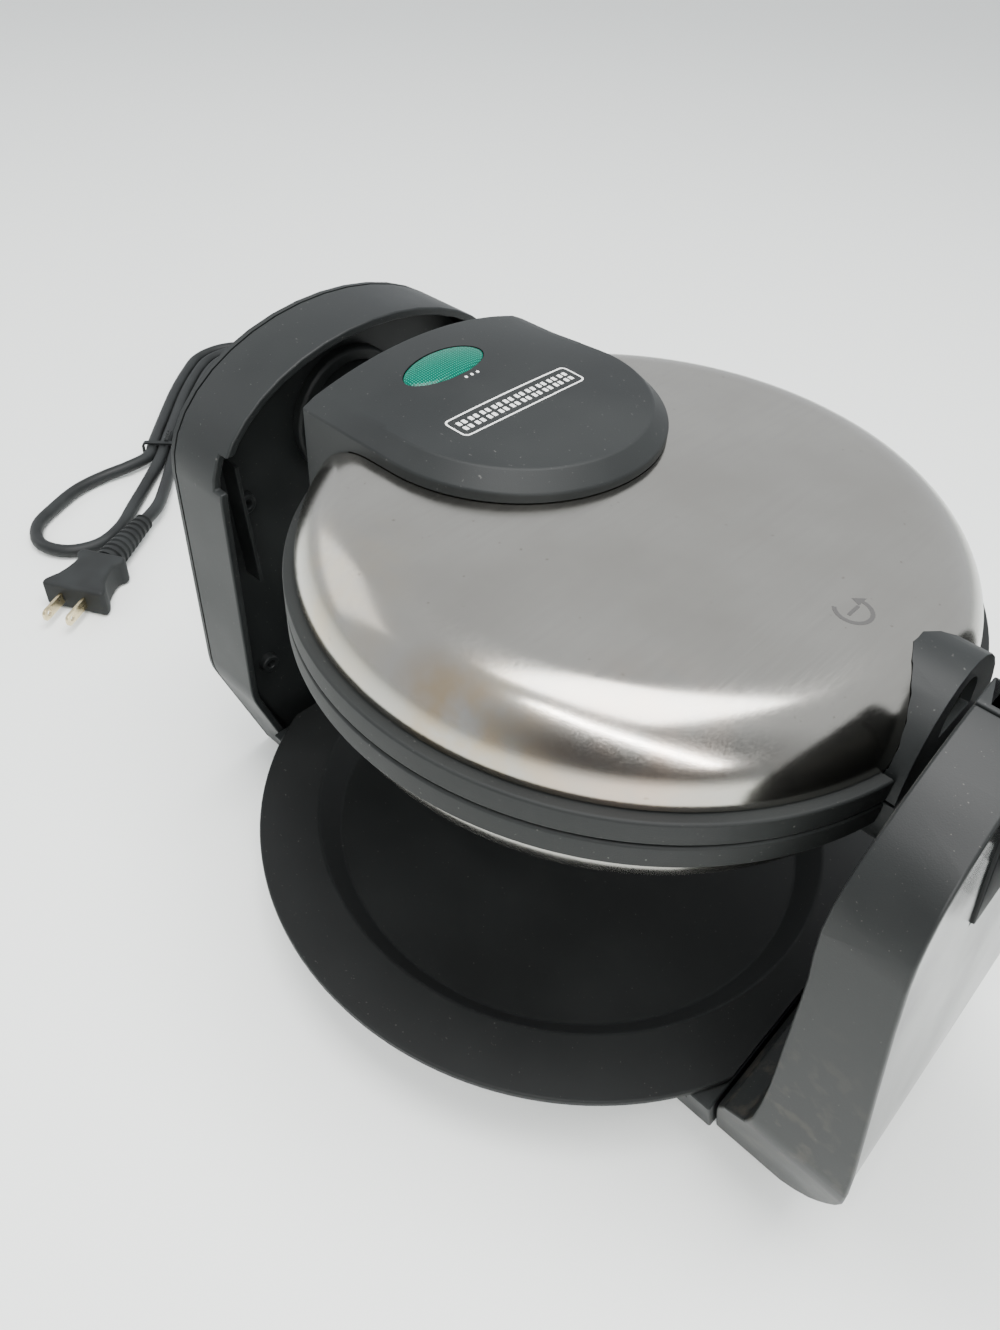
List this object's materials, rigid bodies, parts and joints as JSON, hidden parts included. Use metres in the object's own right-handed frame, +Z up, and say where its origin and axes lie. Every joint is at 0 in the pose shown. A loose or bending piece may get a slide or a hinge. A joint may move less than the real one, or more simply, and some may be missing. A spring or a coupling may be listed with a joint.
{
  "type": "rotary waffle maker",
  "caption": "Rotary waffle maker: round steel clamshell with a hinged lid, flipped by a folding handle between two stands, over a sliding drip tray.",
  "frame": {"origin": "on the surface under the middle of the appliance, without its cord", "axes": "+X from the pivot stand to the handle, along the flip axis; +Z up; -Y is the side that the tray slides out to"},
  "size_m": [0.7021, 0.31, 0.196],
  "materials": {
    "black_plastic": "satin moulded, lightly grained",
    "gloss_plastic": "polished",
    "brushed_steel": "stainless, finely brushed, heat-stained at the front",
    "coated_aluminium": "cast aluminium with a dark non-stick coating",
    "zinc_steel": "zinc-plated",
    "rubber": "matte",
    "green_lens": "clear tinted",
    "lamp_glass": "clear",
    "brass": "plated"
  },
  "bodies": {
    "base": {"base_housing": "black_plastic", "base_plate": "black_plastic", "base_plate_screw_1": "zinc_steel", "base_plate_screw_2": "zinc_steel", "foot_1": "rubber", "foot_2": "rubber", "foot_3": "rubber", "foot_4": "rubber", "left_stand_shell": "black_plastic", "left_bearing_collar": "black_plastic", "left_stand_back_cover": "black_plastic", "back_cover_screw_1": "zinc_steel", "back_cover_screw_2": "zinc_steel", "back_cover_screw_3": "zinc_steel", "right_stand_shell": "black_plastic", "right_stand_outer_cover": "gloss_plastic", "cradle_cap": "black_plastic", "cord_strain_relief": "rubber", "cord_lead": "rubber", "twist_tie": "rubber", "plug_strain_relief": "rubber", "plug_body": "rubber", "plug_blade_1": "brass", "plug_blade_2": "brass"},
    "tray": {"drip_tray": "black_plastic"},
    "lock": {"flip_lock": "gloss_plastic"},
    "lower_half": {"lower_trim": "black_plastic", "lower_dome": "brushed_steel", "lower_grid_plate": "coated_aluminium", "lower_heater": "zinc_steel", "lower_hinge_cover": "black_plastic", "lower_front_bracket": "black_plastic", "hinge_bracket": "zinc_steel", "hinge_pin": "zinc_steel", "pivot_barrel": "black_plastic", "barrel_retainer": "zinc_steel", "wire_harness": "rubber", "thermostat": "zinc_steel", "front_shaft": "black_plastic", "handle_hub": "black_plastic", "handle_guard": "black_plastic", "handle_pin": "zinc_steel"},
    "upper_half": {"upper_trim": "black_plastic", "upper_dome": "brushed_steel", "upper_grid_plate": "coated_aluminium", "upper_heater": "zinc_steel", "upper_hinge_cover": "black_plastic", "upper_front_bracket": "black_plastic", "lid_hinge_leaf": "zinc_steel", "indicator_lens": "green_lens", "indicator_lamp": "lamp_glass", "thermal_fuse": "brass"},
    "handle": {"handle_grip_upper": "black_plastic", "handle_grip_lower": "black_plastic"}
  },
  "joints": [
    {"name": "head_flip", "type": "hinge", "parent": "base", "child": "lower_half", "pos_m": [-0.04, 0, 0.155], "axis": [1, 0, 0], "range_deg": [-180, 0]},
    {"name": "lid_open", "type": "hinge", "parent": "lower_half", "child": "upper_half", "pos_m": [-0.129, 0, 0.185], "axis": [0, -1, 0], "range_deg": [0, 100]},
    {"name": "handle_fold", "type": "hinge", "parent": "lower_half", "child": "handle", "pos_m": [0.117, 0, 0.155], "axis": [0, 1, 0], "range_deg": [0, 90]},
    {"name": "tray_slide", "type": "slide", "parent": "base", "child": "tray", "axis": [0, -1, 0], "range_m": [0, 0.12]},
    {"name": "lock_slide", "type": "slide", "parent": "base", "child": "lock", "axis": [0, 1, 0], "range_m": [0, 0.004]}
  ]
}
